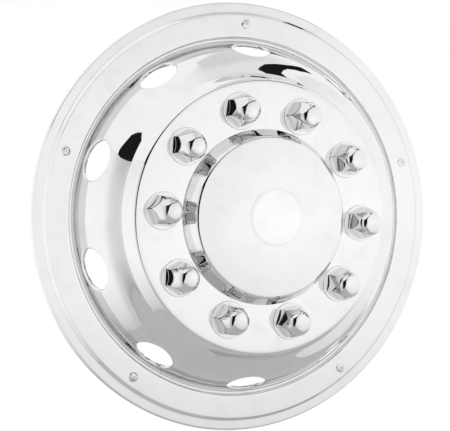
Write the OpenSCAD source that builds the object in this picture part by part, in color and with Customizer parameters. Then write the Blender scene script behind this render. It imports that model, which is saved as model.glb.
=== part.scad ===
// Front truck wheel simulator: a pressed bright cover with a hub cap, ten nut
// covers, and five riveted spring clips that grip inside the rim.
// Sub-parts are drawn along +Z, with z = 0 on the front of the flange and the
// face of the wheel towards +Z. The last module turns them into the car frame:
// front towards -Y, up towards +Z, origin in the middle of the stud circle.

/* [Sheet and outer ring] */
// Thickness of the pressed sheet
sheet = 1; // [0.8:0.1:1.4]
// Depth of the turned edge behind the lip
edge_drop = 8; // [6:0.5:12]
// Bend radius of the turned edge
edge_bend = 3; // [2:0.5:4]
// Width of the sunk lip between the turned edge and the step
lip_w = 13.9; // [12:0.1:18]
// Height of the flange above the sunk lip
step_h = 4.5; // [3:0.5:6]
// Radial width of the sloped step
step_w = 3.8; // [3:0.1:5]
// Width of the flat flange
flange_w = 30.9; // [28:0.1:36]
// Bend radius at the small folds
fold_r = 2; // [1.5:0.1:2]

/* [Bell] */
// Width of the narrow trough inside the flange
trough_w = 4.6; // [4.6:0.1:6]
// Depth of the trough
trough_depth = 8; // [7:0.5:9]
// Slope of the trough's outer wall, from the axis
trough_lean = 6; // [2:1:8]
// Height of the lug plate above the flange
bell_h = 71; // [66:1:78]
// Slope of the bell's wall, from the plane of the flange
wall_slope = 67; // [64:1:70]
// Slope of the shoulder, from the plane of the flange
shoulder_slope = 29; // [24:0.5:34]
// Radial width of the shoulder, out to the line of the wall
shoulder_w = 31.9; // [26:0.1:38]
// Bend radius between shoulder and wall
shoulder_bend = 60; // [40:1:66]
// Flat of the lug plate left outside the flanges of the nut covers
plate_margin = 13; // [8:0.5:18]
// Radial width of the steep band round the lug plate
band_w = 10.3; // [8:0.1:13]
// Height of the steep band
band_h = 19.6; // [15:0.2:23]
// Bend radius at the edge of the lug plate
plate_bend = 3; // [2:0.5:5]

/* [Hand holes] */
// Number of hand holes
hand_holes = 10; // [5:5:10]
// Clear length of a hand hole, along the rim
hand_l = 55; // [48:1:62]
// Wall left under a hand hole, along the slope, down to the trough's floor
hand_foot = 10.8; // [8:0.1:14]
// Slope left over a hand hole, along wall and shoulder, up to the steep band
hand_head = 32; // [26:0.1:38]
// Slope of the plane in which a hand hole is punched, from the plane of the flange
hand_slope = 62; // [56:1:67]
// Depth of the edge turned in round a hand hole, behind the front surface
hand_turn = 4.5; // [3:0.5:6]

/* [Studs and nut covers] */
// Number of wheel studs
studs = 10; // [5:5:10]
// Diameter of the stud circle
stud_pcd = 285.75; // [282:0.25:290]
// Turn of the stud circle from the hand holes
stud_turn = 15.5; // [0:0.1:36]
// Width across the flats of a nut cover
cover_af = 38; // [37:0.5:40]
// Wall of a nut cover
cover_wall = 2; // [1.6:0.1:2.2]
// Height of a nut cover above the lug plate
cover_h = 41; // [38:0.5:46]
// Height of the hexagon's corners above the lug plate
corner_h = 15; // [12:0.5:18]
// Slope of the crown's flank, from the axis
crown_lean = 20.5; // [16:0.5:26]
// Diameter of the nut cover's flange
cover_flange_d = 49; // [48:0.5:52]
// Thickness of the nut cover's flange
cover_flange_t = 2.2; // [1.6:0.1:3]
// Rounding of the flange's upper rim
cover_flange_bend = 1; // [0.4:0.1:1.4]
// Wall of the snap collar
collar_wall = 1.5; // [1.2:0.1:1.6]
// Length of the snap collar behind the lug plate's front
collar_l = 5; // [4.4:0.1:7]
// Width of a slit in the snap collar
slit_w = 2; // [1:0.5:3]
// Clearance of a collar in its hole
collar_gap = 0.2; // [0.1:0.05:0.3]
// Height of the snap bead
bead = 0.8; // [0.5:0.1:1]

/* [Hub cap] */
// Clearance between the cap's foot and the flanges of the nut covers
cap_gap = 1.375; // [0.5:0.125:4]
// Thickness of the hub cap's sheet
cap_sheet = 1; // [0.8:0.1:1.4]
// Width of the cap's foot on the lug plate, outside the hole for the hub
cap_foot_w = 12.5; // [8:0.5:14]
// Radial width of the cap's tapered wall
cap_taper_w = 14.4; // [10:0.1:18]
// Height of the face's edge above the lug plate
cap_edge_h = 22; // [18:0.5:26]
// Rise of the domed face above its edge
cap_rise = 16.7; // [10:0.1:20]
// Bend radius between the cap's wall and its face
cap_bend = 5; // [3:0.5:7]
// Diameter of the raised boss in the middle of the face
boss_d = 76; // [70:1:84]
// Width of the boss's sloped edge
boss_edge_w = 5; // [3:0.5:7]
// Height of the boss
boss_h = 1.2; // [0.8:0.1:2]
// Length of the cap's neck behind the lug plate's front
neck_l = 9; // [6:0.5:12]

/* [Rim clips and rivets] */
// Number of rim clips
clips = 5; // [5:5:10]
// Width of a rim clip
clip_w = 24; // [18:1:30]
// Thickness of a rim clip
clip_t = 1.2; // [1:0.1:1.6]
// Length of the clip's foot inwards of its rivet
clip_tail = 9; // [7:0.5:11]
// Length of the clip's foot outwards of its rivet
clip_heel = 8; // [7:0.5:9]
// Depth that the clip reaches behind the flange
clip_reach = 27; // [22:1:36]
// Lean of the clip's arm, outwards
clip_lean = 12; // [8:1:14]
// Length of the clip's bent-in tip
clip_tip = 6; // [4:0.5:8]
// Bend radius of the clip, inside
clip_bend = 2; // [1.6:0.1:3]
// Distance of the rivets inwards from the flange's outer fold
rivet_inset = 12; // [11:0.5:16]
// Diameter of a rivet's shank
rivet_d = 4.8; // [4:0.2:6]
// Diameter of a rivet's head
rivet_head_d = 13; // [10:0.5:14]
// Height of a rivet's head
rivet_head_h = 2.2; // [1.6:0.1:3]
// Diameter of the hole that the broken mandrel leaves in the head
mandrel_d = 2.9; // [2.4:0.1:3.2]
// Depth of that hole
mandrel_depth = 1.2; // [0.5:0.1:2]
// Diameter of the rivet's set end
rivet_tail_d = 7.6; // [6.6:0.2:9]
// Length of the rivet's set end
rivet_tail_h = 4; // [3:0.5:6]

/* [Hidden] */
$fn = 96;
arc_step = 12;
// Radii of the cover, worked out from the stud circle to the turned edge
plate_r = stud_pcd / 2 + cover_flange_d / 2 + plate_margin;
band_foot = [plate_r + band_w, bell_h - band_h];
shoulder = band_foot + shoulder_w * [1, -tan(shoulder_slope)];
wall_foot = shoulder[0] + (shoulder[1] + trough_depth) / tan(wall_slope);
flange_inner = wall_foot + trough_w;
trough_outer = flange_inner - trough_depth * tan(trough_lean);
flange_outer = flange_inner + flange_w;
foot_of_step = flange_outer + step_w;
cover_r = foot_of_step + lip_w;
rivet_circle_r = flange_outer - rivet_inset;
// A hand hole takes what its margins leave of the slope; its middle lies on the wall's line
slope_l = norm(shoulder - band_foot) + norm(shoulder - [wall_foot, -trough_depth]);
hand_w = slope_l - hand_foot - hand_head;
hand_h = (hand_foot + hand_w / 2) * sin(wall_slope) - trough_depth;
hand_r = wall_foot - (hand_foot + hand_w / 2) * cos(wall_slope);
hand_axis_reach = 3.5 * hand_turn;
hand_sides = 32;
// Sizes that follow the nut covers
cover_corner_r = cover_af / 2 / cos(30);
mouth_r = cover_corner_r - cover_wall / cos(30);
collar_r = mouth_r + collar_wall;
stud_hole_r = collar_r + collar_gap;
// The hub cap fills the circle inside the nut covers, and the hole for the hub follows its foot
cap_r = stud_pcd / 2 - cover_flange_d / 2 - cap_gap;
hub_hole_r = cap_r - cap_foot_w;
neck_r = hub_hole_r - collar_gap;
cap_face_r = cap_r - cap_taper_w;
cap_dome_r = (pow(cap_face_r, 2) + pow(cap_rise, 2)) / (2 * cap_rise);
boss_r = boss_d / 2;
// Sizes that follow the rivets
rivet_hole_r = rivet_d / 2 + 0.1;
overlap = 0.02;
// Turn of each nut cover about its own stud, as it was pushed on
cover_turns = [22.4, 27.4, 52.9, 27.9, 51.9, 12.9, 24.9, 23.4, 50.9, 59.4];

// Vector helpers for outlines in the plane of radius and height
function unit(v) = v / norm(v);
function turned(v, angle) =
    [v[0] * cos(angle) - v[1] * sin(angle), v[0] * sin(angle) + v[1] * cos(angle)];
function left_of(a, b) = turned(unit(b - a), 90);

// Points of the arc that rounds the corner b, between a and c
function bend(a, b, c, r) =
    let (
        u = unit(a - b),
        v = unit(c - b),
        half = acos(u * v) / 2,
        centre = b + unit(u + v) * r / sin(half),
        start = b + u * r / tan(half) - centre,
        turn = (180 - 2 * half) * sign(cross(-u, v)),
        steps = ceil(abs(turn) / arc_step)
    )
    [for (i = [0 : steps]) centre + turned(start, turn * i / steps)];

// An outline with its inner corners rounded, one radius a corner
function rounded(points, radii) = [
    for (i = [0 : len(points) - 1])
        each radii[i] == 0 ? [points[i]] : bend(points[i - 1], points[i], points[i + 1], radii[i])
];

// The outline moved to its left by t, with mitred corners
function shifted(path, t) =
    let (last = len(path) - 1)
    [for (i = [0 : last])
        let (
            n = left_of(path[max(i - 1, 0)], path[max(i, 1)]),
            m = left_of(path[min(i, last - 1)], path[min(i + 1, last)])
        )
        path[i] + (n + m) * t / (1 + n * m)];

function reversed(path) = [for (i = [len(path) - 1 : -1 : 0]) path[i]];

// Section of a sheet of thickness t that lies to the right of the outline
function sheet_section(path, t) = concat(path, reversed(shifted(path, -t)));

// Front outline of the pressed cover, from the hub hole out to the turned edge
cover_path = rounded(
    [
        [hub_hole_r, bell_h],
        [plate_r, bell_h],
        band_foot,
        shoulder,
        [wall_foot, -trough_depth],
        [trough_outer, -trough_depth],
        [flange_inner, 0],
        [flange_outer, 0],
        [foot_of_step, -step_h],
        [cover_r, -step_h],
        [cover_r, -step_h - edge_drop]
    ],
    [0, plate_bend, fold_r, shoulder_bend, fold_r, fold_r, fold_r, fold_r, fold_r, edge_bend, 0]
);

// The part of the outline that the hand holes cross
wall_path = rounded(
    [band_foot, shoulder, [wall_foot, -trough_depth]],
    [0, shoulder_bend, 0]
);

// Outer outline of the hub cap, from the middle of its face to the end of its neck
function cap_dome(r) = cap_edge_h + cap_rise - cap_dome_r + sqrt(pow(cap_dome_r, 2) - pow(r, 2));
boss_top = cap_dome(boss_r) + boss_h;
cap_shell_path = concat(
    [[0, boss_top], [boss_r - boss_edge_w, boss_top]],
    [for (i = [0 : 5]) let (r = boss_r + (cap_face_r - 8 - boss_r) * i / 5) [r, cap_dome(r)]],
    bend([cap_face_r - 8, cap_dome(cap_face_r - 8)], [cap_face_r + 2, cap_edge_h], [cap_r, 0], cap_bend),
    bend([cap_face_r + 2, cap_edge_h], [cap_r, 0], [neck_r, 0], fold_r),
    [[neck_r, 0], [neck_r, -neck_l]]
);

// Outline of a nut cover's crown, shrunk by the wall t
function crown(t) =
    let (
        corner = cover_corner_r - t / cos(30),
        corner_z = corner_h + t * (cos(crown_lean) / cos(30) - 1) / sin(crown_lean),
        ball_z = (cover_h - cover_corner_r * cos(crown_lean) - corner_h * sin(crown_lean))
            / (1 - sin(crown_lean)),
        ball_r = cover_h - ball_z - t,
        steps = ceil((90 - crown_lean) / arc_step)
    )
    concat(
        [[0, 0], [corner, 0], [corner, corner_z]],
        [for (i = [0 : steps])
            let (a = crown_lean + (90 - crown_lean) * i / steps)
            [ball_r * cos(a), ball_z + ball_r * sin(a)]]
    );

// Outline of an oval of length l across and width w
function oval(l, w) =
    [for (i = [0 : hand_sides - 1]) [w / 2 * cos(360 * i / hand_sides), l / 2 * sin(360 * i / hand_sides)]];

module around(count, start, radius) {
    for (i = [0 : count - 1])
        rotate([0, 0, start + 360 * i / count])
            translate([radius, 0, 0])
                children();
}

// Straight oval punch through the wall at every hand hole
module hand_hole_punches(extra) {
    around(hand_holes, 90, hand_r)
        translate([0, 0, hand_h])
            rotate([0, hand_slope, 0])
                linear_extrude(2 * hand_axis_reach, center = true)
                    polygon(oval(hand_l + 2 * extra, hand_w + 2 * extra));
}

// Edges turned in round the hand holes
module hand_hole_collars() {
    intersection() {
        rotate_extrude()
            polygon(concat(
                shifted(wall_path, -sheet / 2),
                reversed(shifted(wall_path, -hand_turn))));
        hand_hole_punches(sheet);
    }
}

module wheel_cover() {
    color("gainsboro")
        difference() {
            union() {
                rotate_extrude()
                    polygon(sheet_section(cover_path, sheet));
                hand_hole_collars();
            }
            hand_hole_punches(0);
            translate([0, 0, bell_h - 2 * sheet])
                around(studs, 90 + stud_turn, stud_pcd / 2)
                    cylinder(r = stud_hole_r, h = 3 * sheet);
            translate([0, 0, -2 * sheet])
                around(clips, 90, rivet_circle_r)
                    cylinder(r = rivet_hole_r, h = 3 * sheet);
        }
}

// Small ring of triangular section behind a snap collar's plate
module snap_bead(radius) {
    translate([0, 0, -sheet - collar_gap / 2])
        rotate_extrude()
            translate([radius, 0])
                polygon([
                    [-collar_wall / 2, 0], [0, 0], [bead, -bead],
                    [bead, -1.5 * bead], [0, -3 * bead], [-collar_wall / 2, -3 * bead]
                ]);
}

module hub_cap() {
    color("whitesmoke")
        translate([0, 0, bell_h])
            union() {
                rotate_extrude()
                    polygon(sheet_section(cap_shell_path, cap_sheet));
                snap_bead(neck_r);
            }
}

// Nut cover with the lug plate's front at z = 0
module nut_cover() {
    difference() {
        union() {
            intersection() {
                cylinder(r = cover_corner_r, h = cover_h + 1, $fn = 6);
                rotate_extrude()
                    polygon(crown(0));
            }
            rotate_extrude()
                polygon(rounded(
                    [
                        [0, 0], [cover_flange_d / 2, 0],
                        [cover_flange_d / 2, cover_flange_t], [0, cover_flange_t]
                    ],
                    [0, 0, cover_flange_bend, 0]));
            translate([0, 0, -collar_l])
                cylinder(r = collar_r, h = collar_l + overlap);
            snap_bead(collar_r);
        }
        translate([0, 0, -collar_l - 1])
            cylinder(r = mouth_r, h = collar_l + 1 + cover_flange_t);
        intersection() {
            cylinder(r = mouth_r, h = cover_h, $fn = 6);
            rotate_extrude()
                polygon(crown(cover_wall));
        }
        for (a = [0 : 60 : 120])
            rotate([0, 0, a + 30])
                translate([0, 0, -collar_l / 2 - 1])
                    cube([3 * collar_r, slit_w, collar_l], center = true);
    }
}

module nut_cover_at(i) {
    color("silver")
        rotate([0, 0, 90 + stud_turn + 360 * i / studs])
            translate([stud_pcd / 2, 0, bell_h])
                rotate([0, 0, cover_turns[i] - 90 - stud_turn - 360 * i / studs])
                    nut_cover();
}

// Blind rivet through the flange and the clip's foot
module rivet_at(i) {
    head_r = rivet_head_d / 2;
    ball_r = (pow(head_r, 2) + pow(rivet_head_h, 2)) / (2 * rivet_head_h);
    grip = sheet + clip_t;
    hole_r = mandrel_d / 2;
    steps = 6;
    edge_a = acos(head_r / ball_r);
    hole_a = acos(hole_r / ball_r);
    hole_z = ball_r * sin(hole_a) - ball_r + rivet_head_h - mandrel_depth;
    color("lightgray")
        rotate([0, 0, 90 + 360 * i / clips])
            translate([rivet_circle_r, 0, 0])
                rotate_extrude()
                    polygon(concat(
                        [
                            [0, -grip - rivet_tail_h],
                            [rivet_tail_d / 2 - 1, -grip - rivet_tail_h],
                            [rivet_tail_d / 2, -grip - rivet_tail_h + 1],
                            [rivet_tail_d / 2, -grip],
                            [rivet_d / 2, -grip],
                            [rivet_d / 2, 0]
                        ],
                        [for (k = [0 : steps])
                            let (a = edge_a + (hole_a - edge_a) * k / steps)
                            [ball_r * cos(a), ball_r * sin(a) - ball_r + rivet_head_h]],
                        [[hole_r, hole_z], [0, hole_z]]));
}

// Spring clip: a foot riveted behind the flange and an arm that leans out to the rim
module rim_clip_at(i) {
    heel = [clip_heel, 0];
    tip_z = -clip_reach + sheet;
    arm_end = [clip_heel + clip_reach * tan(clip_lean), tip_z];
    tip = arm_end + clip_tip * [-sin(45), -cos(45)];
    path = rounded(
        [[-clip_tail, 0], heel, arm_end, tip],
        [0, clip_bend + clip_t, clip_bend, 0]
    );
    color("dimgray")
        rotate([0, 0, 90 + 360 * i / clips])
            translate([rivet_circle_r, 0, -sheet])
                difference() {
                    rotate([90, 0, 0])
                        linear_extrude(clip_w, center = true)
                            polygon(sheet_section(path, clip_t));
                    translate([0, 0, -2 * clip_t])
                        cylinder(r = rivet_hole_r, h = 3 * clip_t);
                }
}

// Turns the wheel face from +Z to -Y, with the lug plate's back at y = 0
module in_car_frame() {
    rotate([90, 0, 0])
        translate([0, 0, sheet - bell_h])
            children();
}

in_car_frame() wheel_cover();
in_car_frame() hub_cap();
in_car_frame() nut_cover_at(0);  // nut_cover_01
in_car_frame() nut_cover_at(1);  // nut_cover_02
in_car_frame() nut_cover_at(2);  // nut_cover_03
in_car_frame() nut_cover_at(3);  // nut_cover_04
in_car_frame() nut_cover_at(4);  // nut_cover_05
in_car_frame() nut_cover_at(5);  // nut_cover_06
in_car_frame() nut_cover_at(6);  // nut_cover_07
in_car_frame() nut_cover_at(7);  // nut_cover_08
in_car_frame() nut_cover_at(8);  // nut_cover_09
in_car_frame() nut_cover_at(9);  // nut_cover_10
in_car_frame() rivet_at(0);  // rivet_01
in_car_frame() rivet_at(1);  // rivet_02
in_car_frame() rivet_at(2);  // rivet_03
in_car_frame() rivet_at(3);  // rivet_04
in_car_frame() rivet_at(4);  // rivet_05
in_car_frame() rim_clip_at(0);  // rim_clip_01
in_car_frame() rim_clip_at(1);  // rim_clip_02
in_car_frame() rim_clip_at(2);  // rim_clip_03
in_car_frame() rim_clip_at(3);  // rim_clip_04
in_car_frame() rim_clip_at(4);  // rim_clip_05
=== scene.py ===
"""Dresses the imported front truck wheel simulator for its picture.

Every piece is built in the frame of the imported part: the wheel's axis along Y, the face towards -Y,
+Z up, metres. Sizes in the classes are millimetres, in the wheel's own frame, whose z is the height
above the flange.
"""

from __future__ import annotations

import bisect
import itertools
import logging
import math
from dataclasses import dataclass, field
from enum import Enum

import bmesh
import bpy
from mathutils import Euler, Matrix, Vector

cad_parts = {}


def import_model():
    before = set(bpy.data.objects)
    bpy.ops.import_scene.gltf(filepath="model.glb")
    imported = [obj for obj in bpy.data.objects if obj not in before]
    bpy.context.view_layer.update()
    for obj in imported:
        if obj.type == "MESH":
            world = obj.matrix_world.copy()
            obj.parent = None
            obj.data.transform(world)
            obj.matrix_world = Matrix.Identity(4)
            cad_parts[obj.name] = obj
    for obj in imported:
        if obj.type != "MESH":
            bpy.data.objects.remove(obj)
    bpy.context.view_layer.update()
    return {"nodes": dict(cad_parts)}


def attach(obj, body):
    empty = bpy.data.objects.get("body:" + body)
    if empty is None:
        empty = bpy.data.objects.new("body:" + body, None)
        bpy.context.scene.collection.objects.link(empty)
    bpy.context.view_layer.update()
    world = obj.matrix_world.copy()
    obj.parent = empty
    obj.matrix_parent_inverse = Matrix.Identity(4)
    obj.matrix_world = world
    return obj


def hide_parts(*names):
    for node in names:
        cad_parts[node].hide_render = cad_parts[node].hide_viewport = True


LOG = logging.getLogger("wheel_simulator")
MM = 0.001
# Height of the lug plate's back above the flange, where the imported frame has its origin
PLATE_BACK = 70.0
PLATE_FRONT = 71.0
HOLE_COUNT = 10
RIVET_COUNT = 5
# Turn of a hand hole and a rivet, which stand straight up, and how far the studs stand from them
TOP_TURN = 90.0
STUD_TURN = 15.5
STUD_CIRCLE = 285.75
WHEEL_TO_FRAME = (
    Matrix.Translation((0.0, PLATE_BACK * MM, 0.0))
    @ Matrix.Rotation(math.radians(90.0), 4, "X")
    @ Matrix.Scale(MM, 4)
)
MERGE_DISTANCE = 0.002
# Size of the patches of haze on a polished surface, in mm
HAZE_LENGTH = 35.0
# How many times longer than wide the lines of rolled strip are
STRIP_STRETCH = 40.0
# How much brighter than the backdrop the tent's cloths look in the metal
TENT_LIGHT = 1.28


class Grain(Enum):
    """Which way the fine lines of a metal surface run."""

    RINGS = "round the wheel's axis, as polishing on a lathe leaves them"
    STRIP = "across the piece, as rolled strip has them"
    NONE = "no direction, as plated or tumbled pieces have"


def linear(hex_colour: str) -> tuple[float, float, float, float]:
    """Turns an sRGB hex colour into linear values.

    Args:
        hex_colour: six hex digits with a leading hash.

    Returns:
        Red, green, blue and an alpha of 1.
    """
    parts = [int(hex_colour[i : i + 2], 16) / 255 for i in (1, 3, 5)]
    red, green, blue = (c / 12.92 if c <= 0.04045 else ((c + 0.055) / 1.055) ** 2.4 for c in parts)
    return red, green, blue, 1.0


def add_node(
    tree: bpy.types.NodeTree,
    kind: str,
    inputs: dict[str | int, object] | None = None,
    **settings: object,
) -> bpy.types.Node:
    """Adds a node with its settings, values and links.

    Args:
        tree: the node tree that gets the node.
        kind: the node's type, without the leading ShaderNode.
        inputs: for each input, by name or number, a value or the output socket to link.
        **settings: the node's own properties.

    Returns:
        The new node.
    """
    node = tree.nodes.new("ShaderNode" + kind)
    for name, value in settings.items():
        setattr(node, name, value)
    for key, value in (inputs or {}).items():
        if isinstance(value, bpy.types.NodeSocket):
            tree.links.new(value, node.inputs[key])
        else:
            node.inputs[key].default_value = value
    return node


def blank_tree(owner: bpy.types.Material | bpy.types.World) -> bpy.types.NodeTree:
    """Switches an owner to nodes and returns its emptied tree."""
    owner.use_nodes = True
    owner.node_tree.nodes.clear()
    return owner.node_tree


@dataclass(frozen=True)
class MetalFinish:
    """A bright metal surface with its fine lines and its slight waves.

    Attributes:
        name: the finish's common name.
        colour: colour of the clean metal.
        dull_colour: colour where it is a little hazed.
        roughness: roughness of the clean metal.
        haze: roughness that the haze adds.
        grain: the way that the fine lines run.
        spacing: distance between fine lines in mm.
        relief: height of the fine lines in mm.
        wave_length: length of the sheet's slow waves in mm.
        wave_height: height of the slow waves in mm.
    """

    name: str
    colour: str
    dull_colour: str
    roughness: float
    haze: float
    grain: Grain
    spacing: float
    relief: float
    wave_length: float
    wave_height: float

    def material(self) -> bpy.types.Material:
        """Makes the finish's material.

        Returns:
            The material, named after the finish.
        """
        material = bpy.data.materials.new(self.name)
        tree = blank_tree(material)
        place = add_node(tree, "TexCoord").outputs["Object"]
        haze = add_node(
            tree,
            "TexNoise",
            {"Vector": place, "Scale": 1 / (HAZE_LENGTH * MM), "Detail": 4.0, "Roughness": 0.6},
        )
        spread = add_node(
            tree,
            "MapRange",
            {"Value": haze.outputs["Fac"], "From Min": 0.45, "From Max": 0.75},
            interpolation_type="SMOOTHSTEP",
        )
        tint = add_node(
            tree,
            "Mix",
            {0: spread.outputs["Result"], 6: linear(self.colour), 7: linear(self.dull_colour)},
            data_type="RGBA",
        )
        rough = add_node(
            tree,
            "MapRange",
            {
                "Value": spread.outputs["Result"],
                "To Min": self.roughness,
                "To Max": self.roughness + self.haze,
            },
        )
        fine = add_node(
            tree,
            "TexNoise",
            {"Vector": self.grain_vector(tree, place), "Scale": 1.0, "Detail": 2.0},
        )
        slow = add_node(
            tree, "TexNoise", {"Vector": place, "Scale": 1 / (self.wave_length * MM), "Detail": 1.0}
        )
        waves = add_node(
            tree,
            "Bump",
            {"Height": slow.outputs["Fac"], "Strength": 1.0, "Distance": self.wave_height * MM},
        )
        lines = add_node(
            tree,
            "Bump",
            {
                "Height": fine.outputs["Fac"],
                "Strength": 1.0,
                "Distance": self.relief * MM,
                "Normal": waves.outputs["Normal"],
            },
        )
        surface = add_node(
            tree,
            "BsdfPrincipled",
            {
                "Base Color": tint.outputs[2],
                "Metallic": 1.0,
                "Roughness": rough.outputs["Result"],
                "Normal": lines.outputs["Normal"],
            },
        )
        add_node(tree, "OutputMaterial", {"Surface": surface.outputs["BSDF"]})
        return material

    def grain_vector(
        self, tree: bpy.types.NodeTree, place: bpy.types.NodeSocket
    ) -> bpy.types.NodeSocket:
        """Turns the place on a piece into the fine lines' own coordinates.

        Args:
            tree: the material's tree.
            place: the object coordinates.

        Returns:
            A vector that changes by one for each line.
        """
        across = 1 / (self.spacing * MM)
        along = across / STRIP_STRETCH if self.grain is Grain.STRIP else across
        if self.grain is Grain.RINGS:
            flat = add_node(
                tree, "VectorMath", {0: place, 1: (1.0, 0.0, 1.0)}, operation="MULTIPLY"
            )
            radius = add_node(tree, "VectorMath", {0: flat.outputs[0]}, operation="LENGTH")
            depth = add_node(tree, "SeparateXYZ", {0: place})
            reach = add_node(
                tree, "CombineXYZ", {"X": radius.outputs["Value"], "Y": depth.outputs["Y"]}
            )
            place = reach.outputs[0]
        scaled = add_node(
            tree, "VectorMath", {0: place, 1: (across, along, along)}, operation="MULTIPLY"
        )
        return scaled.outputs[0]


# Stainless sheet, pressed and polished on a lathe: a mirror with faint rings, which are drawn
# wider apart than polishing leaves them, so that they show
POLISHED_SHEET = MetalFinish(
    name="polished_stainless_sheet",
    colour="#E0E0E0",
    dull_colour="#DADADA",
    roughness=0.02,
    haze=0.02,
    grain=Grain.RINGS,
    spacing=1.6,
    relief=0.0006,
    wave_length=90,
    wave_height=0.012,
)
# Stainless drawn to a dome and buffed: as bright, with a little more haze
BUFFED_DOME = MetalFinish(
    name="buffed_stainless_dome",
    colour="#DEDEDE",
    dull_colour="#D8D8D8",
    roughness=0.024,
    haze=0.025,
    grain=Grain.RINGS,
    spacing=1.8,
    relief=0.0007,
    wave_length=70,
    wave_height=0.012,
)
# Bright nickel and chrome on moulded plastic: the sharpest mirror, no lines
CHROME_PLATE = MetalFinish(
    name="bright_chrome_plate",
    colour="#DADBDC",
    dull_colour="#D4D5D6",
    roughness=0.012,
    haze=0.015,
    grain=Grain.NONE,
    spacing=6.0,
    relief=0.0006,
    wave_length=30,
    wave_height=0.003,
)
# Tumbled stainless rivet: bright but softened by the set tool
SET_RIVET = MetalFinish(
    name="tumbled_stainless_rivet",
    colour="#D2D4D6",
    dull_colour="#BDC0C3",
    roughness=0.11,
    haze=0.1,
    grain=Grain.NONE,
    spacing=0.8,
    relief=0.004,
    wave_length=8,
    wave_height=0.01,
)
# Cold rolled spring strip: grey, satin, with lines along the strip
SPRING_STRIP = MetalFinish(
    name="rolled_spring_strip",
    colour="#A9ACB0",
    dull_colour="#85888C",
    roughness=0.32,
    haze=0.16,
    grain=Grain.STRIP,
    spacing=0.9,
    relief=0.012,
    wave_length=20,
    wave_height=0.02,
)


def bend(before: Vector, corner: Vector, after: Vector, radius: float, step: float) -> list[Vector]:
    """Rounds one corner of an outline.

    Args:
        before: the point before the corner.
        corner: the corner itself.
        after: the point after it.
        radius: bend radius in mm.
        step: largest turn between two points, in degrees.

    Returns:
        The points of the arc, in the outline's order.
    """
    u, v = (before - corner).normalized(), (after - corner).normalized()
    half = math.acos(max(-1.0, min(1.0, u.dot(v)))) / 2
    centre = corner + (u + v).normalized() * (radius / math.sin(half))
    start = corner + u * (radius / math.tan(half)) - centre
    turn = math.copysign(math.pi - 2 * half, -u.x * v.y + u.y * v.x)
    count = max(2, math.ceil(math.degrees(abs(turn)) / step))
    return [centre + Matrix.Rotation(turn * i / count, 2) @ start for i in range(count + 1)]


def rounded(
    points: list[tuple[float, float]], radii: list[float], step: float = 6.0
) -> list[Vector]:
    """Rounds the inner corners of an outline.

    Args:
        points: corners, each a radius and a height in mm.
        radii: one bend radius for each corner, 0 for a sharp one.
        step: largest turn between two points of an arc, in degrees.

    Returns:
        The rounded outline.
    """
    corners = [Vector(p) for p in points]
    path: list[Vector] = []
    for i, (corner, radius) in enumerate(zip(corners, radii)):
        if radius:
            path += bend(corners[i - 1], corner, corners[i + 1], radius, step)
        else:
            path.append(corner)
    return path


def between(first: float, last: float, count: int) -> list[float]:
    """Gives evenly spaced values from the first to the last, in a number of steps."""
    return [first + (last - first) * i / count for i in range(count + 1)]


def spaced(path: list[Vector], longest: float) -> list[Vector]:
    """Adds points to an outline where its straights are longer than a given length."""
    out = [path[0]]
    for a, b in zip(path, path[1:]):
        count = max(1, math.ceil((b - a).length / longest))
        out += [a.lerp(b, i / count) for i in range(1, count + 1)]
    return out


def inset_path(path: list[Vector], distance: float) -> list[Vector]:
    """Moves an outline to its right by a distance, with mitred corners."""
    moved = []
    for i, point in enumerate(path):
        ahead = (path[min(i + 1, len(path) - 1)] - path[min(i, len(path) - 2)]).normalized()
        behind = (path[max(i, 1)] - path[max(i - 1, 0)]).normalized()
        n, m = Vector((ahead.y, -ahead.x)), Vector((behind.y, -behind.x))
        moved.append(point + (n + m) * (distance / (1 + n.dot(m))))
    return moved


def spin_outline(
    bm: bmesh.types.BMesh, outline: list[Vector], steps: int, closed: bool
) -> None:
    """Turns an outline of radius and height once round the local z axis.

    Args:
        bm: the mesh that gets the surface.
        outline: points of radius and height.
        steps: divisions of the turn.
        closed: whether the last point joins the first.
    """
    verts = [bm.verts.new((p.x, 0.0, p.y)) for p in outline]
    pairs = list(zip(verts, verts[1:])) + ([(verts[-1], verts[0])] if closed else [])
    edges = [bm.edges.new(pair) for pair in pairs]
    bmesh.ops.spin(
        bm,
        geom=verts + edges,
        cent=(0, 0, 0),
        axis=(0, 0, 1),
        dvec=(0, 0, 0),
        angle=2 * math.pi,
        steps=steps,
        use_merge=True,
    )


def merged(bm: bmesh.types.BMesh) -> None:
    """Merges doubles and turns the faces outwards."""
    bmesh.ops.remove_doubles(bm, verts=bm.verts[:], dist=MERGE_DISTANCE)
    bmesh.ops.recalc_face_normals(bm, faces=bm.faces[:])


def finished_piece(
    name: str,
    bm: bmesh.types.BMesh,
    place: Matrix,
    material: bpy.types.Material,
    node: str,
    sharp_angle: float = 40.0,
) -> bpy.types.Object:
    """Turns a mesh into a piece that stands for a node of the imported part.

    Args:
        name: name of the piece.
        bm: its mesh, in mm; it is freed.
        place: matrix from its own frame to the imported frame.
        material: its finish.
        node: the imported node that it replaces.
        sharp_angle: edges that turn more than this many degrees stay sharp.

    Returns:
        The piece, riding on the root body.
    """
    bm.transform(place)
    mesh = bpy.data.meshes.new(name)
    bm.to_mesh(mesh)
    bm.free()
    mesh.shade_smooth()
    mesh.set_sharp_from_angle(angle=math.radians(sharp_angle))
    mesh.materials.append(material)
    piece = bpy.data.objects.new(name, mesh)
    bpy.context.scene.collection.objects.link(piece)
    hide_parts(node)
    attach(piece, "root")
    LOG.info("%s: %d faces", name, len(mesh.polygons))
    return piece


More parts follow.
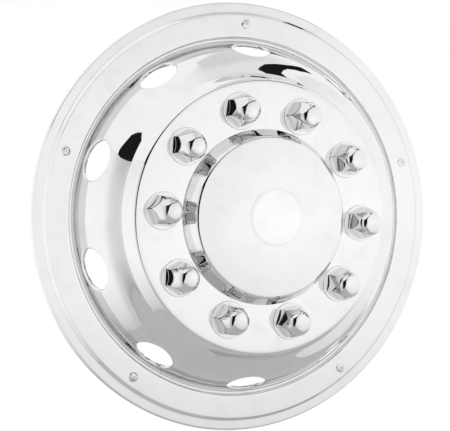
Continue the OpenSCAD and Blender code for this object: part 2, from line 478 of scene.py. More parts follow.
@dataclass
class WheelCover:
    """The pressed cover: turned edge, sunk lip, flange, trough, bell with hand holes, lug plate.

    Attributes:
        sheet: thickness of the sheet.
        shoulder_bend: bend over which the shoulder runs into the wall.
        fold: bend of the small folds.
        hand_middle: radius and height of a hand hole's middle.
        hand_lip: bend of the hand holes' edges, which are turned in by hand_turn.
        punch_slope: slope of the wall across which the hand holes are punched, in degrees.
        flat_run: how much of the flat plate belongs to the spun outline.
        columns: divisions of the full turn.
        rings: rings of faces between a hand hole and the border of its patch.
        lip_steps: rings of faces round a hand hole's bend.
        plate_rings: rings of faces between a stud hole and the border of its patch.
        plate_steps: divisions of the lug plate's patch along a radius.
        step: largest turn between two points of a fold, in degrees, and bend_step of the shoulder.
        longest: longest face along the outline, and longest_crossed where the hand holes are.
        path: the stretch of the outline that the hand holes cross.
        reach: length along that stretch up to each of its points.
    """

    material: bpy.types.Material
    sheet: float = 1.0
    edge_radius: float = 293.483
    edge_drop: float = 8.0
    lip_inner: float = 279.583
    step_top: float = 275.783
    step_height: float = 4.5
    flange_inner: float = 244.883
    wall_foot: float = 240.283
    trough_outer: float = 244.042
    trough_depth: float = 8.0
    shoulder: tuple[float, float] = (222.575, 33.718)
    shoulder_bend: float = 60.0
    band_foot: tuple[float, float] = (190.675, 51.4)
    plate_radius: float = 180.375
    plate_bend: float = 9.0
    fold: float = 2.0
    edge_bend: float = 3.0
    hub_hole: float = 104.5
    hand_length: float = 55.0
    hand_width: float = 38.99
    hand_middle: tuple[float, float] = (228.445, 19.888)
    punch_slope: float = 62.0
    hand_lip: float = 2.4
    hand_turn: float = 4.5
    stud_hole: float = 21.33
    flat_run: float = 10.0
    columns: int = 360
    rings: int = 7
    lip_steps: int = 5
    plate_rings: int = 4
    plate_steps: int = 12
    step: float = 10.0
    bend_step: float = 3.0
    longest: float = 6.0
    longest_crossed: float = 4.5
    path: list[Vector] = field(default_factory=list)
    reach: list[float] = field(default_factory=list)

    def outline(self) -> tuple[list[Vector], list[Vector], list[Vector]]:
        """Works out the front outline in three stretches.

        Returns:
            The stretch from the lug plate to the shoulder, the stretch that the hand holes cross,
            and the stretch from the wall's foot to the turned edge.
        """
        corners = [
            (self.plate_radius - self.flat_run, PLATE_FRONT),
            (self.plate_radius, PLATE_FRONT),
            self.band_foot,
            self.shoulder,
            (self.wall_foot, -self.trough_depth),
            (self.trough_outer, -self.trough_depth),
            (self.flange_inner, 0.0),
            (self.step_top, 0.0),
            (self.lip_inner, -self.step_height),
            (self.edge_radius, -self.step_height),
            (self.edge_radius, -self.step_height - self.edge_drop),
        ]
        inner = rounded(corners[:4], [0, self.plate_bend, self.fold, 0], self.step)[:-1]
        before, corner, after = (Vector(c) for c in corners[2:5])
        over = bend(before, corner, after, self.shoulder_bend, self.bend_step)
        folds = [self.fold] * 5
        outer = rounded(corners[3:], [0, *folds, self.edge_bend, 0], self.step)[1:]
        inner = spaced([*inner, over[0]], self.longest)
        crossed = [*over, *spaced([over[-1], outer[0]], self.longest_crossed)[1:]]
        return inner, crossed, spaced(outer, self.longest)

    def surface(self, turn: float, along: float) -> Vector:
        """Gives a point on the crossed stretch, turned about the axis.

        Args:
            turn: angle from the sector's middle, in radians.
            along: length along the crossed stretch, in mm.

        Returns:
            The point, with the sector's middle on the x axis.
        """
        path = self.path
        i = min(bisect.bisect_right(self.reach, along), len(path) - 1)
        a, b = self.reach[i - 1], self.reach[i]
        p = path[i - 1].lerp(path[i], (along - a) / (b - a))
        return Vector((p.x * math.cos(turn), p.x * math.sin(turn), p.y))

    def on_oval(self, angle: float, grow: float) -> tuple[float, float]:
        """Finds where a punch of the oval's form meets the wall.

        Args:
            angle: angle round the oval, in radians; a quarter turn points up the wall.
            grow: how much wider the oval is than the clear hole, in mm.

        Returns:
            The turn about the axis and the length along the crossed stretch.
        """
        slope = math.radians(self.punch_slope)
        up = Vector((-math.cos(slope), 0.0, math.sin(slope)))
        centre = Vector((self.hand_middle[0], 0.0, self.hand_middle[1]))
        across = (self.hand_length / 2 + grow) * math.cos(angle)
        rise = (self.hand_width / 2 + grow) * math.sin(angle)
        low, high = 0.0, self.reach[-1]
        for _ in range(24):
            middle = (low + high) / 2
            radius = self.surface(0.0, middle).x
            turn = math.asin(across / radius)
            if (self.surface(turn, middle) - centre).dot(up) > rise:
                low = middle
            else:
                high = middle
        return turn, middle

    def hand_hole_patch(self, bm: bmesh.types.BMesh) -> None:
        """Adds one tenth of the crossed stretch, with its hole and the edge turned in.

        Args:
            bm: the mesh that gets the patch, with the hole's middle on the x axis.
        """
        lengths = self.reach
        half = self.columns // (2 * HOLE_COUNT)
        turns = [math.radians(i * 360 / self.columns) for i in range(-half, half + 1)]
        border = [(t, lengths[0]) for t in turns]
        border += [(turns[-1], s) for s in lengths[1:]]
        border += [(t, lengths[-1]) for t in reversed(turns[:-1])]
        border += [(turns[0], s) for s in reversed(lengths[1:-1])]
        middle = self.on_oval(0.0, 0.0)[1]
        angles = []
        for t, s in border:
            reach = middle if s < middle else lengths[-1] - middle
            angles.append(math.atan2((middle - s) / reach, t / turns[-1]))
        slope = math.radians(self.punch_slope)
        axis = Vector((math.sin(slope), 0.0, math.cos(slope)))
        ovals = []
        for k in range(self.lip_steps + 1):
            sunk = math.pi / 2 * k / self.lip_steps
            grow = self.hand_lip * (1 - math.sin(sunk))
            depth = self.hand_lip * (1 - math.cos(sunk))
            ovals.append([(*self.on_oval(a, grow), depth) for a in angles])
        ovals.append([(t, s, self.hand_turn) for t, s, _ in ovals[-1]])
        rows = self.rings + self.lip_steps + 1
        grid = bmesh.ops.create_grid(bm, x_segments=len(border), y_segments=rows, size=0.5)
        for vert in grid["verts"]:
            column = round((vert.co.x + 0.5) * len(border)) % len(border)
            row = round((vert.co.y + 0.5) * rows)
            if row <= self.rings:
                share = row / self.rings
                (t, s), (hole_t, hole_s, _) = border[column], ovals[0][column]
                vert.co = self.surface(t + (hole_t - t) * share, s + (hole_s - s) * share)
            else:
                t, s, depth = ovals[row - self.rings][column]
                vert.co = self.surface(t, s) - axis * depth

    def lug_patch(self, bm: bmesh.types.BMesh, outer: float) -> None:
        """Adds one tenth of the flat lug plate, with its stud hole.

        Args:
            bm: the mesh that gets the patch.
            outer: radius at which the plate's outline goes on.
        """
        half = self.columns // (2 * HOLE_COUNT)
        first = round(TOP_TURN + STUD_TURN) - half
        turns = [math.radians(first + i) for i in range(2 * half + 1)]
        radii = between(self.hub_hole, outer, self.plate_steps)
        border = [(t, radii[0]) for t in turns]
        border += [(turns[-1], r) for r in radii[1:]]
        border += [(t, radii[-1]) for t in reversed(turns[:-1])]
        border += [(turns[0], r) for r in reversed(radii[1:-1])]
        points = [Vector((r * math.cos(t), r * math.sin(t), PLATE_FRONT)) for t, r in border]
        middle = Matrix.Rotation(math.radians(TOP_TURN + STUD_TURN), 4, "Z") @ Vector(
            (STUD_CIRCLE / 2, 0.0, PLATE_FRONT)
        )
        rows = self.plate_rings
        grid = bmesh.ops.create_grid(bm, x_segments=len(border), y_segments=rows, size=0.5)
        for vert in grid["verts"]:
            column = round((vert.co.x + 0.5) * len(border)) % len(border)
            share = round((vert.co.y + 0.5) * rows) / rows
            rim = middle + (points[column] - middle).normalized() * self.stud_hole
            vert.co = points[column].lerp(rim, share)

    def repeated(
        self, bm: bmesh.types.BMesh, verts: list[bmesh.types.BMVert], start: float
    ) -> None:
        """Turns a patch to its start and repeats it for each hole round the axis.

        Args:
            bm: the mesh.
            verts: the patch's vertices.
            start: turn of the first patch, in degrees.
        """
        turned = Matrix.Rotation(math.radians(start), 3, "Z")
        bmesh.ops.rotate(bm, cent=(0, 0, 0), matrix=turned, verts=verts)
        faces = {f for v in verts for f in v.link_faces}
        edges = {e for v in verts for e in v.link_edges}
        bmesh.ops.spin(
            bm,
            geom=[*verts, *edges, *faces],
            cent=(0, 0, 0),
            axis=(0, 0, 1),
            dvec=(0, 0, 0),
            angle=2 * math.pi * (1 - 1 / HOLE_COUNT),
            steps=HOLE_COUNT - 1,
            use_duplicate=True,
        )

    def build(self) -> bpy.types.Object:
        """Builds the cover as one sheet and gives it its thickness.

        Returns:
            The piece.
        """
        inner, self.path, outer = self.outline()
        steps = [(b - a).length for a, b in zip(self.path, self.path[1:])]
        self.reach = list(itertools.accumulate(steps, initial=0.0))
        bm = bmesh.new()
        self.hand_hole_patch(bm)
        self.repeated(bm, bm.verts[:], TOP_TURN)
        known = set(bm.verts)
        self.lug_patch(bm, inner[0].x)
        self.repeated(bm, [v for v in bm.verts if v not in known], 0.0)
        spin_outline(bm, inner, self.columns, closed=False)
        spin_outline(bm, outer, self.columns, closed=False)
        merged(bm)
        bm.normal_update()
        if sum(f.normal.z * f.calc_area() for f in bm.faces) < 0:
            bmesh.ops.reverse_faces(bm, faces=bm.faces[:])
        bmesh.ops.solidify(bm, geom=bm.faces[:], thickness=self.sheet)
        return finished_piece(
            "wheel_cover_shell", bm, WHEEL_TO_FRAME, self.material, "wheel_cover"
        )


@dataclass
class HubCap:
    """The drawn cap over the hub: domed face, rounded edge, tapered wall and snap neck.

    Attributes:
        sheet: thickness of the sheet.
        clearance: gap between the lug plate's back and the bead that snaps behind it.
        rise: how far the face's dome rises above its edge.
        overhang: how far the corner that edge_bend rounds lies outside the face.
        face_stop: how far inside the edge the points of the dome stop.
        face_steps: divisions of the dome from the boss outwards.
        step: largest turn between two points of a fold, in degrees, and back_step on the inside.
        longest: longest face along the outline, and longest_back on the inside.
        columns: divisions of the full turn.
    """

    material: bpy.types.Material
    sheet: float = 1.0
    clearance: float = 0.1
    foot_radius: float = 117.0
    neck_radius: float = 104.3
    neck_length: float = 9.0
    edge_radius: float = 102.6
    edge_height: float = 22.0
    rise: float = 16.7
    edge_bend: float = 9.0
    overhang: float = 2.0
    foot_bend: float = 2.0
    neck_bend: float = 1.2
    bead_bend: float = 0.3
    boss_radius: float = 38.0
    boss_edge: float = 3.4
    boss_height: float = 1.5
    boss_bend: float = 6.0
    bead: float = 0.8
    face_stop: float = 10.0
    face_steps: int = 14
    step: float = 5.0
    back_step: float = 9.0
    longest: float = 6.0
    longest_back: float = 8.0
    columns: int = 288

    def dome(self, radius: float) -> float:
        """Height of the domed face above the lug plate at a radius."""
        ball = (self.edge_radius**2 + self.rise**2) / (2 * self.rise)
        return self.edge_height + self.rise - ball + math.sqrt(ball**2 - radius**2)

    def build(self) -> bpy.types.Object:
        """Builds the cap as a closed shell.

        Returns:
            The piece.
        """
        top = self.dome(self.boss_radius) + self.boss_height
        face = between(self.boss_radius, self.edge_radius - self.face_stop, self.face_steps)
        behind = -self.sheet - self.clearance
        neck = [
            (self.neck_radius, behind),
            (self.neck_radius + self.bead, behind - self.bead),
            (self.neck_radius + self.bead, behind - 1.5 * self.bead),
            (self.neck_radius, behind - 3 * self.bead),
            (self.neck_radius, -self.neck_length),
        ]
        cap = [
            (0.0, top),
            (self.boss_radius - self.boss_edge, top),
            *((r, self.dome(r)) for r in face),
            (self.edge_radius + self.overhang, self.edge_height),
            (self.foot_radius, 0.0),
            (self.neck_radius, 0.0),
        ]
        radii = [0.0, self.boss_bend, self.boss_bend, *([0.0] * self.face_steps)]
        radii += [self.edge_bend, self.foot_bend, self.neck_bend]
        beads = [0.0, self.bead_bend, self.bead_bend, 0.0, 0.0]
        front = spaced(rounded(cap + neck, radii + beads, self.step), self.longest)
        plain = rounded([*cap, neck[-1]], [*radii, 0.0], self.back_step)
        back = inset_path(spaced(plain, self.longest_back), self.sheet)
        back[0] = Vector((0.0, top - self.sheet))
        bm = bmesh.new()
        spin_outline(bm, front + back[::-1], self.columns, closed=True)
        merged(bm)
        place = WHEEL_TO_FRAME @ Matrix.Translation((0.0, 0.0, PLATE_FRONT))
        return finished_piece(
            "hub_cap_dome", bm, place, self.material, "hub_cap"
        )


@dataclass
class NutCover:
    """One chromed cover of a wheel nut: a hexagon under a ball, on a round flange with snap tabs.

    Attributes:
        flats: width of the hexagon across its flats.
        corner_height: height at which its corners start to lean in.
        taper: draft of its sides, in degrees.
        lean: how far the corners lean in above that height, in degrees.
        flange: thickness of the round flange.
        rim_bend: bend of the flange's upper edge, and rim_fold of its lower one.
        slit: gap between two tabs of the snap collar.
        tab_root: how far a tab reaches up into the flange.
        edge_softness: how softly the hexagon's edges are rounded, in mm.
        near: how close to a height still counts as being at it, in mm.
        sharp_angle: edges that turn more than this many degrees stay sharp.
        columns: divisions of the full turn.
        longest: longest face along the section outside, and longest_inside on the inside.
    """

    material: bpy.types.Material
    flats: float = 38.0
    wall: float = 2.0
    height: float = 41.0
    corner_height: float = 15.0
    taper: float = 4.5
    lean: float = 20.5
    flange_radius: float = 24.5
    flange: float = 2.2
    rim_bend: float = 1.0
    rim_fold: float = 0.3
    collar_wall: float = 1.5
    collar_length: float = 5.0
    slit: float = 2.0
    bead: float = 0.8
    edge_softness: float = 0.7
    bead_height: float = -1.1
    tab_root: float = 0.4
    near: float = 0.01
    sharp_angle: float = 50.0
    columns: int = 180
    longest: float = 0.55
    longest_inside: float = 1.6

    def crown(self, shrink: float) -> tuple[float, float, float, float]:
        """Gives the crown's sizes, shrunk by a wall.

        Args:
            shrink: thickness taken off, in mm.

        Returns:
            Corner radius, corner height, ball radius and the height of the ball's middle.
        """
        lean = math.radians(self.lean)
        corner = self.flats / 2 / math.cos(math.pi / 6)
        ball_z = (
            self.height - corner * math.cos(lean) - self.corner_height * math.sin(lean)
        ) / (1 - math.sin(lean))
        ball = self.height - ball_z - shrink
        small = corner - shrink / math.cos(math.pi / 6)
        rise = shrink * (math.cos(lean) / math.cos(math.pi / 6) - 1) / math.sin(lean)
        return small, self.corner_height + rise, ball, ball_z

    def hexagon(self, angle: float, inner: float) -> float:
        """Distance from the axis to the hexagon's softened outline.

        Args:
            angle: direction, in radians.
            inner: distance from the axis to the middle of a side.

        Returns:
            The distance in that direction.
        """
        off = math.degrees(angle) % 60 - 30
        near = inner / math.cos(math.radians(off))
        other = inner / math.cos(math.radians(60 - abs(off)))
        return soft_least(near, other, self.edge_softness)

    def growth(self, z: float) -> float:
        """How far the draft moves a side of the hexagon out at a height."""
        middle = (self.flange + self.corner_height) / 2
        return (middle - z) * math.tan(math.radians(self.taper))

    def section(self) -> list[Vector]:
        """Works out the section of the cover's body, from the top of the ball round to its inside.

        Returns:
            The section's points, each a radius and a height.
        """
        lean = math.radians(self.lean)
        corner, corner_z, ball, ball_z = self.crown(0.0)
        arc = [
            Vector((ball * math.cos(a), ball_z + ball * math.sin(a)))
            for a in between(math.pi / 2, lean, 36)
        ]
        arc[0].x = 0.0
        base = corner + self.growth(self.flange) / math.cos(math.pi / 6)
        flank = [Vector((corner, corner_z)), Vector((base, self.flange))]
        outside = spaced([*arc, *flank], self.longest)
        edge = rounded(
            [
                (base + 0.2, self.flange),
                (self.flange_radius, self.flange),
                (self.flange_radius, 0.0),
                (self.flats / 2, 0.0),
            ],
            [0.0, self.rim_bend, self.rim_fold, 0.0],
            15.0,
        )
        small, small_z, small_ball, _ = self.crown(self.wall)
        cavity = [
            Vector((small_ball * math.cos(a), ball_z + small_ball * math.sin(a)))
            for a in between(lean, math.pi / 2, 10)
        ]
        cavity[-1].x = 0.0
        wall = [Vector((small, self.flange)), Vector((small, small_z))]
        inside = spaced([*wall, *cavity], self.longest_inside)
        return [*outside, *edge[:-1], Vector((small, 0.0)), *inside]

    def form(self) -> bpy.types.Mesh:
        """Makes the cover's form, once for all of them.

        Returns:
            The mesh, in mm, with a corner of the hexagon on the x axis.
        """
        bm = bmesh.new()
        spin_outline(bm, self.section(), self.columns, closed=False)
        bmesh.ops.remove_doubles(bm, verts=bm.verts[:], dist=MERGE_DISTANCE)
        socket = self.flats / 2 - self.wall
        for vert in bm.verts:
            radius = vert.co.xy.length
            on_flange = vert.co.z <= self.flange + self.near and (
                vert.co.z < self.flange - self.near or radius > self.flats / 2 + 4.0
            )
            if on_flange or radius < MERGE_DISTANCE:
                continue
            angle = math.atan2(vert.co.y, vert.co.x)
            outside = self.is_outside(vert.co.z, radius)
            side = self.flats / 2 + self.growth(vert.co.z) if outside else socket
            limit = self.hexagon(angle, side)
            soft = soft_least(radius, limit, self.edge_softness)
            vert.co.xy *= soft / radius
        self.add_tabs(bm)
        bmesh.ops.recalc_face_normals(bm, faces=bm.faces[:])
        mesh = bpy.data.meshes.new("nut_cover_form")
        bm.to_mesh(mesh)
        bm.free()
        return mesh

    def build(self, form: bpy.types.Mesh, number: int, turn: float) -> bpy.types.Object:
        """Builds one cover at its stud.

        Args:
            form: the covers' common form.
            number: which stud it is on, from 1.
            turn: how far its corners are turned, in degrees.

        Returns:
            The piece.
        """
        bm = bmesh.new()
        bm.from_mesh(form)
        stud = TOP_TURN + STUD_TURN + 360 / HOLE_COUNT * (number - 1)
        place = (
            WHEEL_TO_FRAME
            @ Matrix.Rotation(math.radians(stud), 4, "Z")
            @ Matrix.Translation((STUD_CIRCLE / 2, 0.0, PLATE_FRONT))
            @ Matrix.Rotation(math.radians(turn - stud), 4, "Z")
        )
        node = f"nut_cover_{number:02d}"
        return finished_piece(
            f"{node}_crown", bm, place, self.material, node, self.sharp_angle
        )

    def is_outside(self, z: float, radius: float) -> bool:
        """Tells whether a point of the spun section lies on the outer skin."""
        _, small_z, small_ball, ball_z = self.crown(self.wall)
        corner = self.flats / 2 / math.cos(math.pi / 6)
        if z <= small_z + self.near:
            return radius > corner - self.wall * 0.55
        flank, flank_z, ball, _ = self.crown(0.0)
        lean = math.radians(self.lean)
        outer = (
            flank - (z - flank_z) * math.tan(lean)
            if z < ball_z + ball * math.sin(lean)
            else math.sqrt(max(0.0, ball**2 - (z - ball_z) ** 2))
        )
        return radius > outer - self.wall * 0.55 if z < ball_z + small_ball else True

    def add_tabs(self, bm: bmesh.types.BMesh) -> None:
        """Adds the six tabs of the snap collar, each with its bead."""
        mouth = self.flats / 2 / math.cos(math.pi / 6) - self.wall / math.cos(math.pi / 6)
        outer = mouth + self.collar_wall
        bead_z = self.bead_height
        outline = [
            (mouth, self.tab_root),
            (outer, self.tab_root),
            (outer, bead_z),
            (outer + self.bead, bead_z - self.bead),
            (outer + self.bead, bead_z - 1.5 * self.bead),
            (outer, bead_z - 3 * self.bead),
            (outer, -self.collar_length),
            (mouth, -self.collar_length),
        ]
        gap = self.slit / outer
        sixth = math.pi / 3
        for i in range(6):
            start = sixth * (i + 0.5) + gap / 2
            turn = Matrix.Rotation(start, 4, "Z")
            verts = [bm.verts.new(turn @ Vector((r, 0.0, z))) for r, z in outline]
            face = bm.faces.new(verts)
            bmesh.ops.spin(
                bm,
                geom=[face],
                cent=(0, 0, 0),
                axis=(0, 0, 1),
                dvec=(0, 0, 0),
                angle=sixth - gap,
                steps=10,
            )


def soft_least(a: float, b: float, softness: float) -> float:
    """Gives the smaller of two lengths, rounded off where they are close."""
    share = max(softness - abs(a - b), 0.0) / softness
    return min(a, b) - share * share * softness / 4


@dataclass
class Rivet:
    """One blind rivet through the flange: domed head, sunk mandrel, set end.

    Attributes:
        number: which rivet it is, from 1 at the top.
        circle: radius on which the rivets stand.
        mandrel: radius of the mandrel's hole, which is sunk by so much.
        grip: thickness that the rivet clamps.
        rim_height: height of the head's upright rim.
    """

    material: bpy.types.Material
    number: int
    circle: float = 263.783
    shank: float = 2.4
    head_radius: float = 6.5
    head_height: float = 2.2
    mandrel: float = 1.45
    sunk: float = 1.2
    grip: float = 2.2
    tail_radius: float = 3.8
    tail_height: float = 4.0
    tail_chamfer: float = 1.0
    rim_height: float = 0.25

    def build(self) -> bpy.types.Object:
        """Builds the rivet at its place on the flange.

        Returns:
            The piece.
        """
        ball = (self.head_radius**2 + self.head_height**2) / (2 * self.head_height)
        rim = math.acos(self.head_radius / ball)
        eye = math.acos((self.mandrel + self.rim_height) / ball)
        head = [
            (ball * math.cos(a), ball * math.sin(a) - ball + self.head_height)
            for a in between(rim, eye, 10)
        ]
        low = -self.grip - self.tail_height
        top = head[-1][1]
        corners = [
            (0.0, low),
            (self.tail_radius - self.tail_chamfer, low),
            (self.tail_radius, low + self.tail_chamfer),
            (self.tail_radius, -self.grip),
            (self.shank, -self.grip),
            (self.shank, 0.0),
            (self.head_radius, 0.0),
            (self.head_radius, self.rim_height),
            *((r, z + self.rim_height) for r, z in head[1:]),
            (self.mandrel, top),
            (self.mandrel, top - self.sunk),
            (0.0, top - self.sunk + 0.2),
        ]
        radii = [0, 0.6, 0.6, 0.3, 0, 0, 0.1, 0.1, *([0] * (len(head) - 2)), 0.15, 0.2, 0, 0]
        bm = bmesh.new()
        spin_outline(bm, rounded(corners, radii, 30.0), 64, closed=False)
        merged(bm)
        turn = TOP_TURN + 360 / RIVET_COUNT * (self.number - 1)
        place = (
            WHEEL_TO_FRAME
            @ Matrix.Rotation(math.radians(turn), 4, "Z")
            @ Matrix.Translation((self.circle, 0.0, 0.0))
        )
        node = f"rivet_{self.number:02d}"
        return finished_piece(f"{node}_head", bm, place, self.material, node)


@dataclass
class RimClips:
    """The five spring clips behind the flange, which keep their packed form."""

    material: bpy.types.Material

    def dress(self, nodes: dict[str, bpy.types.Object]) -> None:
        """Gives each packed clip its finish.

        Args:
            nodes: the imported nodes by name.
        """
        for i in range(1, RIVET_COUNT + 1):
            clip = nodes[f"rim_clip_{i:02d}"]
            clip.data.materials.clear()
            clip.data.materials.append(self.material)
            LOG.info("%s: spring strip", clip.name)


@dataclass(frozen=True)
class Zone:
    """A stretch of the white tent with a grey of its own.

    Attributes:
        colour: its grey.
        turns: from which turn to which it reaches, in degrees to the right of the wheel's front.
        heights: from which height to which it reaches, in degrees above the wheel's axis.
        softness: how far its edges fade, in degrees.
    """

    colour: str
    turns: tuple[float, float]
    heights: tuple[float, float]
    softness: float

    def add(
        self, tree: bpy.types.NodeTree, before: object, turn: object, height: object
    ) -> bpy.types.NodeSocket:
        """Lays the zone over the tent's colour.

        Args:
            tree: the world's tree.
            before: the colour so far, as a value or a socket.
            turn: socket with the turn of the direction looked in.
            height: socket with its height.

        Returns:
            The colour with the zone in it.
        """
        factors = []
        for value, (low, high) in ((turn, self.turns), (height, self.heights)):
            for edge, way in ((low, 1), (high, -1)):
                fade = add_node(
                    tree,
                    "MapRange",
                    {
                        "Value": value,
                        "From Min": edge - way * self.softness / 2,
                        "From Max": edge + way * self.softness / 2,
                    },
                    interpolation_type="SMOOTHSTEP",
                )
                factors.append(fade.outputs["Result"])
        share = factors[0]
        for factor in factors[1:]:
            share = add_node(tree, "Math", {0: share, 1: factor}, operation="MULTIPLY").outputs[0]
        mix = add_node(
            tree, "Mix", {0: share, 6: before, 7: linear(self.colour)}, data_type="RGBA"
        )
        return mix.outputs[2]


@dataclass(frozen=True)
class Card:
    """A card or a bent cloth beside the wheel, which only bright metal mirrors.

    Attributes:
        name: its name.
        colour: the colour that the metal mirrors.
        rows: its rows of points, each x, y and z in metres and its share of light.
    """

    name: str
    colour: str
    rows: tuple[tuple[tuple[float, float, float, float], ...], ...]

    def build(self) -> None:
        """Stands up the card."""
        bm = bmesh.new()
        share = bm.verts.layers.float.new("share_of_light")
        count = len(self.rows[0]) - 1
        grid = bmesh.ops.create_grid(bm, x_segments=count, y_segments=len(self.rows) - 1, size=0.5)
        for vert in grid["verts"]:
            row = round((vert.co.y + 0.5) * (len(self.rows) - 1))
            point = self.rows[row][round((vert.co.x + 0.5) * count)]
            vert.co, vert[share] = point[:3], point[3]
        mesh = bpy.data.meshes.new(self.name)
        bm.to_mesh(mesh)
        bm.free()
        material = bpy.data.materials.new(self.name)
        tree = blank_tree(material)
        level = add_node(tree, "Attribute", attribute_name="share_of_light")
        light = add_node(
            tree, "Math", {0: level.outputs["Fac"], 1: TENT_LIGHT}, operation="MULTIPLY"
        )
        glow = add_node(
            tree, "Emission", {"Color": linear(self.colour), "Strength": light.outputs[0]}
        )
        add_node(tree, "OutputMaterial", {"Surface": glow.outputs[0]})
        mesh.materials.append(material)
        card = bpy.data.objects.new(self.name, mesh)
        bpy.context.scene.collection.objects.link(card)
        card.visible_camera = card.visible_diffuse = card.visible_shadow = False
        card.visible_transmission = card.visible_volume_scatter = False


@dataclass
class Studio:
    """Pale floor, soft white tent, the cards round the camera, and the camera itself.

    Attributes:
        wheel_turn: how far the photographed wheel is turned on its axis, in degrees.
        floor_fade: parts of the floor's radius between which its paint fades to white.
        floor_shift: how much nearer the fade is to the camera's eye, in the same parts.
        tent: the zones of the tent that have a grey of their own.
        cards: the cloths and the soft box.
    """

    lens: float = 93.46
    camera_place: tuple[float, float, float] = (-0.6525, -1.3913, 0.0172)
    camera_turn: tuple[float, float, float] = (89.435, 0.0, -23.18)
    wheel_turn: float = 0.9
    floor_level: float = -0.45
    floor_radius: float = 1.1
    floor_fade: tuple[float, float] = (0.66, 0.97)
    floor_shift: float = 0.35
    floor_colour: str = "#DADADA"
    backdrop_colour: str = "#FFFFFF"
    tent_colour: str = "#F6F6F6"
    tent: tuple[Zone, ...] = (Zone("#D6D6D6", (0, 150), (58, 120), 24),)
    cards: tuple[Card, ...] = (
        # Black cloth up one side of the soft box and over its top, where the tent is open
        Card(
            "black_cloth",
            "#1A1A1A",
            (
                (
                    (-0.40, -0.16, -0.45, 1.0), (-0.40, -0.16, 0.05, 1.0),
                    (-0.41, -0.17, 0.24, 1.0), (-0.40, -0.25, 0.31, 1.0), (-0.30, -0.34, 0.41, 1.0),
                    (-0.06, -0.32, 0.60, 1.0), (0.06, -0.27, 0.59, 1.0), (0.20, -0.14, 0.58, 1.0),
                    (0.31, 0.01, 0.56, 1.0), (0.37, 0.11, 0.55, 1.0),
                ),
                (
                    (-0.72, -0.80, -0.45, 1.0), (-0.52, -0.80, 0.05, 1.0),
                    (-0.32, -0.53, 0.33, 1.0), (-0.20, -0.46, 0.40, 1.0), (-0.15, -0.42, 0.52, 1.0),
                    (-0.05, -0.38, 0.56, 1.0), (0.06, -0.33, 0.56, 1.0), (0.21, -0.20, 0.55, 1.0),
                    (0.34, -0.04, 0.535, 1.0), (0.41, 0.07, 0.52, 1.0),
                ),
            ),
        ),
        # Soft box in front, brightest in the middle and dimmer towards its foot and its top
        Card(
            "soft_box",
            "#FFFFFF",
            (
                (
                    (-0.72, -0.80, -0.45, 0.66), (-0.13, -0.35, -0.45, 0.66),
                    (0.04, -0.226, -0.45, 0.68), (0.10, -0.182, -0.45, 0.68),
                    (0.13, -0.16, -0.45, 0.68), (0.60, 0.10, -0.45, 0.66),
                ),
                (
                    (-0.62, -0.80, -0.14, 0.9), (-0.13, -0.345, -0.14, 0.9),
                    (0.04, -0.226, -0.14, 0.95), (0.10, -0.182, -0.14, 0.96),
                    (0.13, -0.16, -0.14, 0.95), (0.60, 0.11, -0.14, 0.9),
                ),
                (
                    (-0.52, -0.80, 0.05, 0.9), (-0.13, -0.34, 0.0, 0.9), (0.04, -0.226, 0.0, 1.03),
                    (0.10, -0.182, 0.0, 1.06), (0.13, -0.16, 0.0, 1.03), (0.60, 0.11, 0.0, 0.9),
                ),
                (
                    (-0.36, -0.62, 0.25, 0.9), (-0.13, -0.34, 0.16, 0.9), (0.04, -0.22, 0.16, 0.95),
                    (0.10, -0.175, 0.16, 0.96), (0.13, -0.15, 0.16, 0.95), (0.60, 0.12, 0.16, 0.9),
                ),
                (
                    (-0.20, -0.44, 0.41, 0.88), (-0.12, -0.34, 0.46, 0.76),
                    (0.04, -0.27, 0.46, 0.76), (0.10, -0.20, 0.46, 0.76), (0.13, -0.17, 0.46, 0.76),
                    (0.60, 0.12, 0.45, 0.88),
                ),
            ),
        ),
        # Cloth at the left, which darkens towards its front edge
        Card(
            "side_cloth",
            "#FFFFFF",
            (
                (
                    (-0.325, -0.20, 0.165, 0.36), (-0.33, -0.15, 0.165, 0.6),
                    (-0.34, -0.05, 0.175, 0.85), (-0.37, 0.35, 0.19, 0.95),
                ),
                (
                    (-0.325, -0.20, 0.0, 0.4), (-0.33, -0.15, 0.0, 0.66), (-0.34, -0.05, 0.0, 0.95),
                    (-0.37, 0.35, 0.0, 1.0),
                ),
                (
                    (-0.325, -0.20, -0.15, 0.42), (-0.33, -0.15, -0.15, 0.68),
                    (-0.34, -0.05, -0.15, 0.95), (-0.37, 0.35, -0.15, 1.0),
                ),
                (
                    (-0.325, -0.20, -0.45, 0.35), (-0.33, -0.15, -0.45, 0.52),
                    (-0.34, -0.05, -0.45, 0.55), (-0.37, 0.35, -0.45, 0.6),
                ),
            ),
        ),
    )

    def build(self) -> None:
        """Sets up the whole studio."""
        scene = bpy.context.scene
        scene.view_settings.view_transform = "Standard"
        self.add_camera(scene)
        self.add_world(scene)
        self.add_floor(scene)
        for card in self.cards:
            card.build()

    def add_camera(self, scene: bpy.types.Scene) -> None:
        """Puts the camera at the photograph's place."""
        data = bpy.data.cameras.new("front_left")
        data.lens, data.sensor_width, data.sensor_fit = self.lens, 36.0, "HORIZONTAL"
        data.clip_start, data.clip_end = 0.05, 50.0
        camera = bpy.data.objects.new("front_left", data)
        stand = Matrix.LocRotScale(
            self.camera_place, Euler([math.radians(a) for a in self.camera_turn]), None
        )
        # The camera turns, so that the wheel stays straight in its frame
        camera.matrix_world = Matrix.Rotation(math.radians(-self.wheel_turn), 4, "Y") @ stand
        scene.collection.objects.link(camera)
        scene.camera = camera

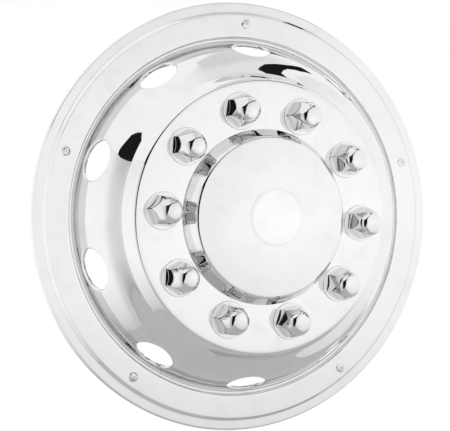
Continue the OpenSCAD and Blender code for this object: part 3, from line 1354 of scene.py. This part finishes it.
    def add_world(self, scene: bpy.types.Scene) -> None:
        """Surrounds the object with a soft white tent, greyer overhead."""
        world = bpy.data.worlds.new("white_tent")
        tree = blank_tree(world)
        looked = add_node(tree, "TexCoord").outputs["Generated"]
        x, y, z = add_node(tree, "SeparateXYZ", {0: looked}).outputs
        front = add_node(tree, "Math", {0: y, 1: -1.0}, operation="MULTIPLY").outputs[0]
        turn = add_node(tree, "Math", {0: x, 1: front}, operation="ARCTAN2").outputs[0]
        height = add_node(tree, "Math", {0: z}, operation="ARCSINE").outputs[0]
        turn, height = (
            add_node(tree, "Math", {0: angle}, operation="DEGREES").outputs[0]
            for angle in (turn, height)
        )
        colour = linear(self.tent_colour)
        for zone in self.tent:
            colour = zone.add(tree, colour, turn, height)
        path = add_node(tree, "LightPath")
        backdrop = add_node(
            tree,
            "Mix",
            {0: path.outputs["Is Camera Ray"], 6: colour, 7: linear(self.backdrop_colour)},
            data_type="RGBA",
        )
        strength = add_node(
            tree,
            "MapRange",
            {"Value": path.outputs["Is Glossy Ray"], "To Min": 1.0, "To Max": TENT_LIGHT},
        )
        shine = add_node(
            tree,
            "Background",
            {"Color": backdrop.outputs[2], "Strength": strength.outputs["Result"]},
        )
        add_node(tree, "OutputWorld", {"Surface": shine.outputs[0]})
        scene.world = world

    def add_floor(self, scene: bpy.types.Scene) -> None:
        """Lays a pale floor that fades into the white surroundings."""
        bm = bmesh.new()
        bmesh.ops.create_circle(bm, cap_ends=True, radius=self.floor_radius, segments=96)
        mesh = bpy.data.meshes.new("pale_floor")
        bm.to_mesh(mesh)
        bm.free()
        floor = bpy.data.objects.new("pale_floor", mesh)
        floor.location = (0.0, 0.0, self.floor_level)
        scene.collection.objects.link(floor)
        material = bpy.data.materials.new("pale_floor_paint")
        tree = blank_tree(material)
        place = add_node(tree, "TexCoord").outputs["Object"]
        reach = add_node(tree, "VectorMath", {0: place}, operation="LENGTH")
        seen = add_node(
            tree,
            "Math",
            {
                0: add_node(tree, "LightPath").outputs["Is Camera Ray"],
                1: self.floor_shift * self.floor_radius,
                2: reach.outputs["Value"],
            },
            operation="MULTIPLY_ADD",
        )
        fade = add_node(
            tree,
            "MapRange",
            {
                "Value": seen.outputs[0],
                "From Min": self.floor_fade[0] * self.floor_radius,
                "From Max": self.floor_fade[1] * self.floor_radius,
            },
            interpolation_type="SMOOTHSTEP",
        )
        paint = add_node(tree, "BsdfDiffuse", {"Color": linear(self.floor_colour)})
        white = linear(self.backdrop_colour)
        glow = add_node(tree, "Emission", {"Color": white, "Strength": 1.0})
        mixed = add_node(
            tree, "MixShader", {0: fade.outputs["Result"], 1: paint.outputs[0], 2: glow.outputs[0]}
        )
        add_node(tree, "OutputMaterial", {"Surface": mixed.outputs[0]})
        mesh.materials.append(material)


# Turn of each nut cover's corners, as it was pushed on
NUT_TURNS = (22.4, 27.4, 52.9, 27.9, 51.9, 12.9, 24.9, 23.4, 50.9, 59.4)


def main() -> None:
    """Builds the dressed wheel simulator and its studio."""
    logging.basicConfig(level=logging.INFO, format="%(name)s: %(message)s")
    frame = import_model()
    Studio().build()
    WheelCover(POLISHED_SHEET.material()).build()
    HubCap(BUFFED_DOME.material()).build()
    nut_cover = NutCover(CHROME_PLATE.material())
    form = nut_cover.form()
    for number, turn in enumerate(NUT_TURNS, start=1):
        nut_cover.build(form, number, turn)
    bpy.data.meshes.remove(form)
    rivet_metal = SET_RIVET.material()
    for number in range(1, RIVET_COUNT + 1):
        Rivet(rivet_metal, number).build()
    RimClips(SPRING_STRIP.material()).dress(frame["nodes"])


if __name__ == "__main__":
    main()
